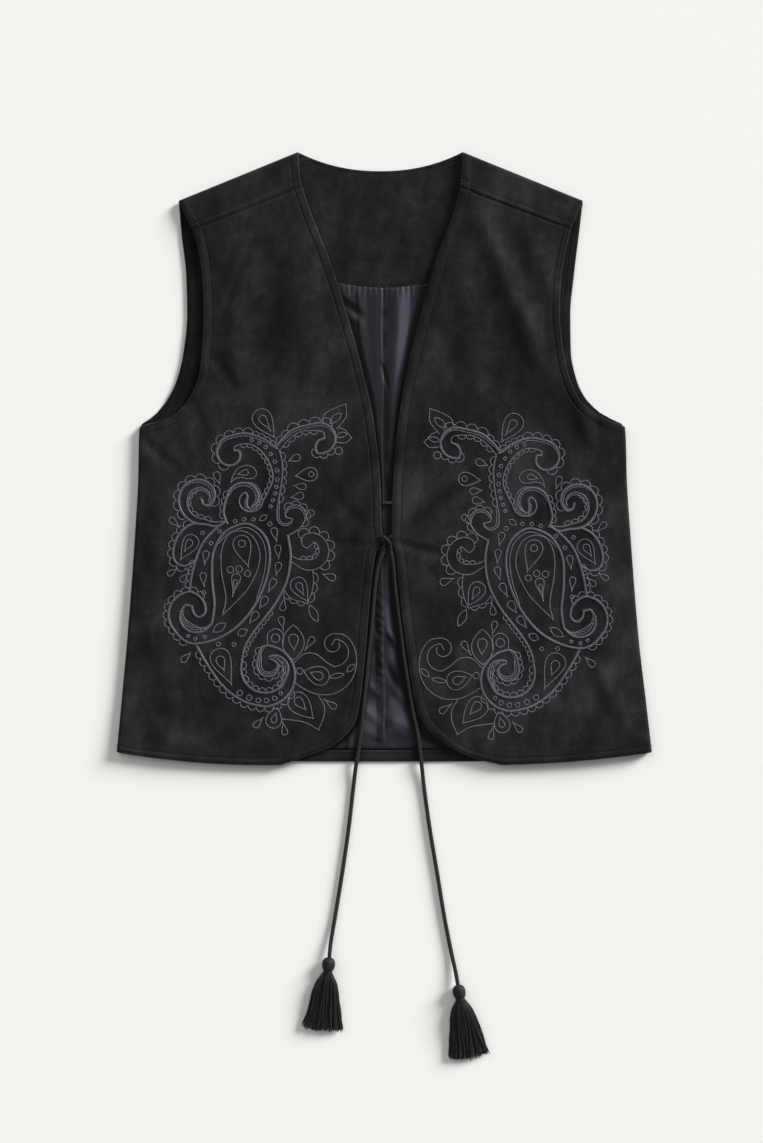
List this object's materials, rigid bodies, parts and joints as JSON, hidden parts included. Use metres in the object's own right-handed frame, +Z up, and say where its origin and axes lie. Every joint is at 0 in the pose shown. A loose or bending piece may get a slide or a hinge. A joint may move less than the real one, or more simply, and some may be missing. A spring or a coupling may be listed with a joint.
{
  "type": "embroidered gilet",
  "caption": "Sleeveless open-fronted suede gilet laid flat, with embroidered fronts, a satin back lining and a laced tie that ends in tassels",
  "frame": {"origin": "middle of the garment's footprint on the surface it lies on, the ties and tassels left out", "axes": "+Y towards the neck, +Z up from the surface, -X towards the front that is on the left seen from above"},
  "size_m": [0.536, 0.9078, 0.0125],
  "materials": {
    "suede": "black suede, matt nap",
    "lining_satin": "grey satin",
    "tie_cord": "black cord",
    "tassel_yarn": "black yarn"
  },
  "bodies": {
    "root": {"back_shell": "suede", "back_lining": "lining_satin", "back_neck_facing": "suede", "armhole_facing_left": "suede", "armhole_facing_right": "suede", "hem_facing": "suede", "front_left": "suede", "front_right": "suede", "yoke_left": "suede", "yoke_right": "suede", "lace_bar": "tie_cord", "lace_knot": "tie_cord", "tie_left": "tie_cord", "tie_right": "tie_cord", "tassel_left": "tassel_yarn", "tassel_right": "tassel_yarn"}
  },
  "joints": []
}
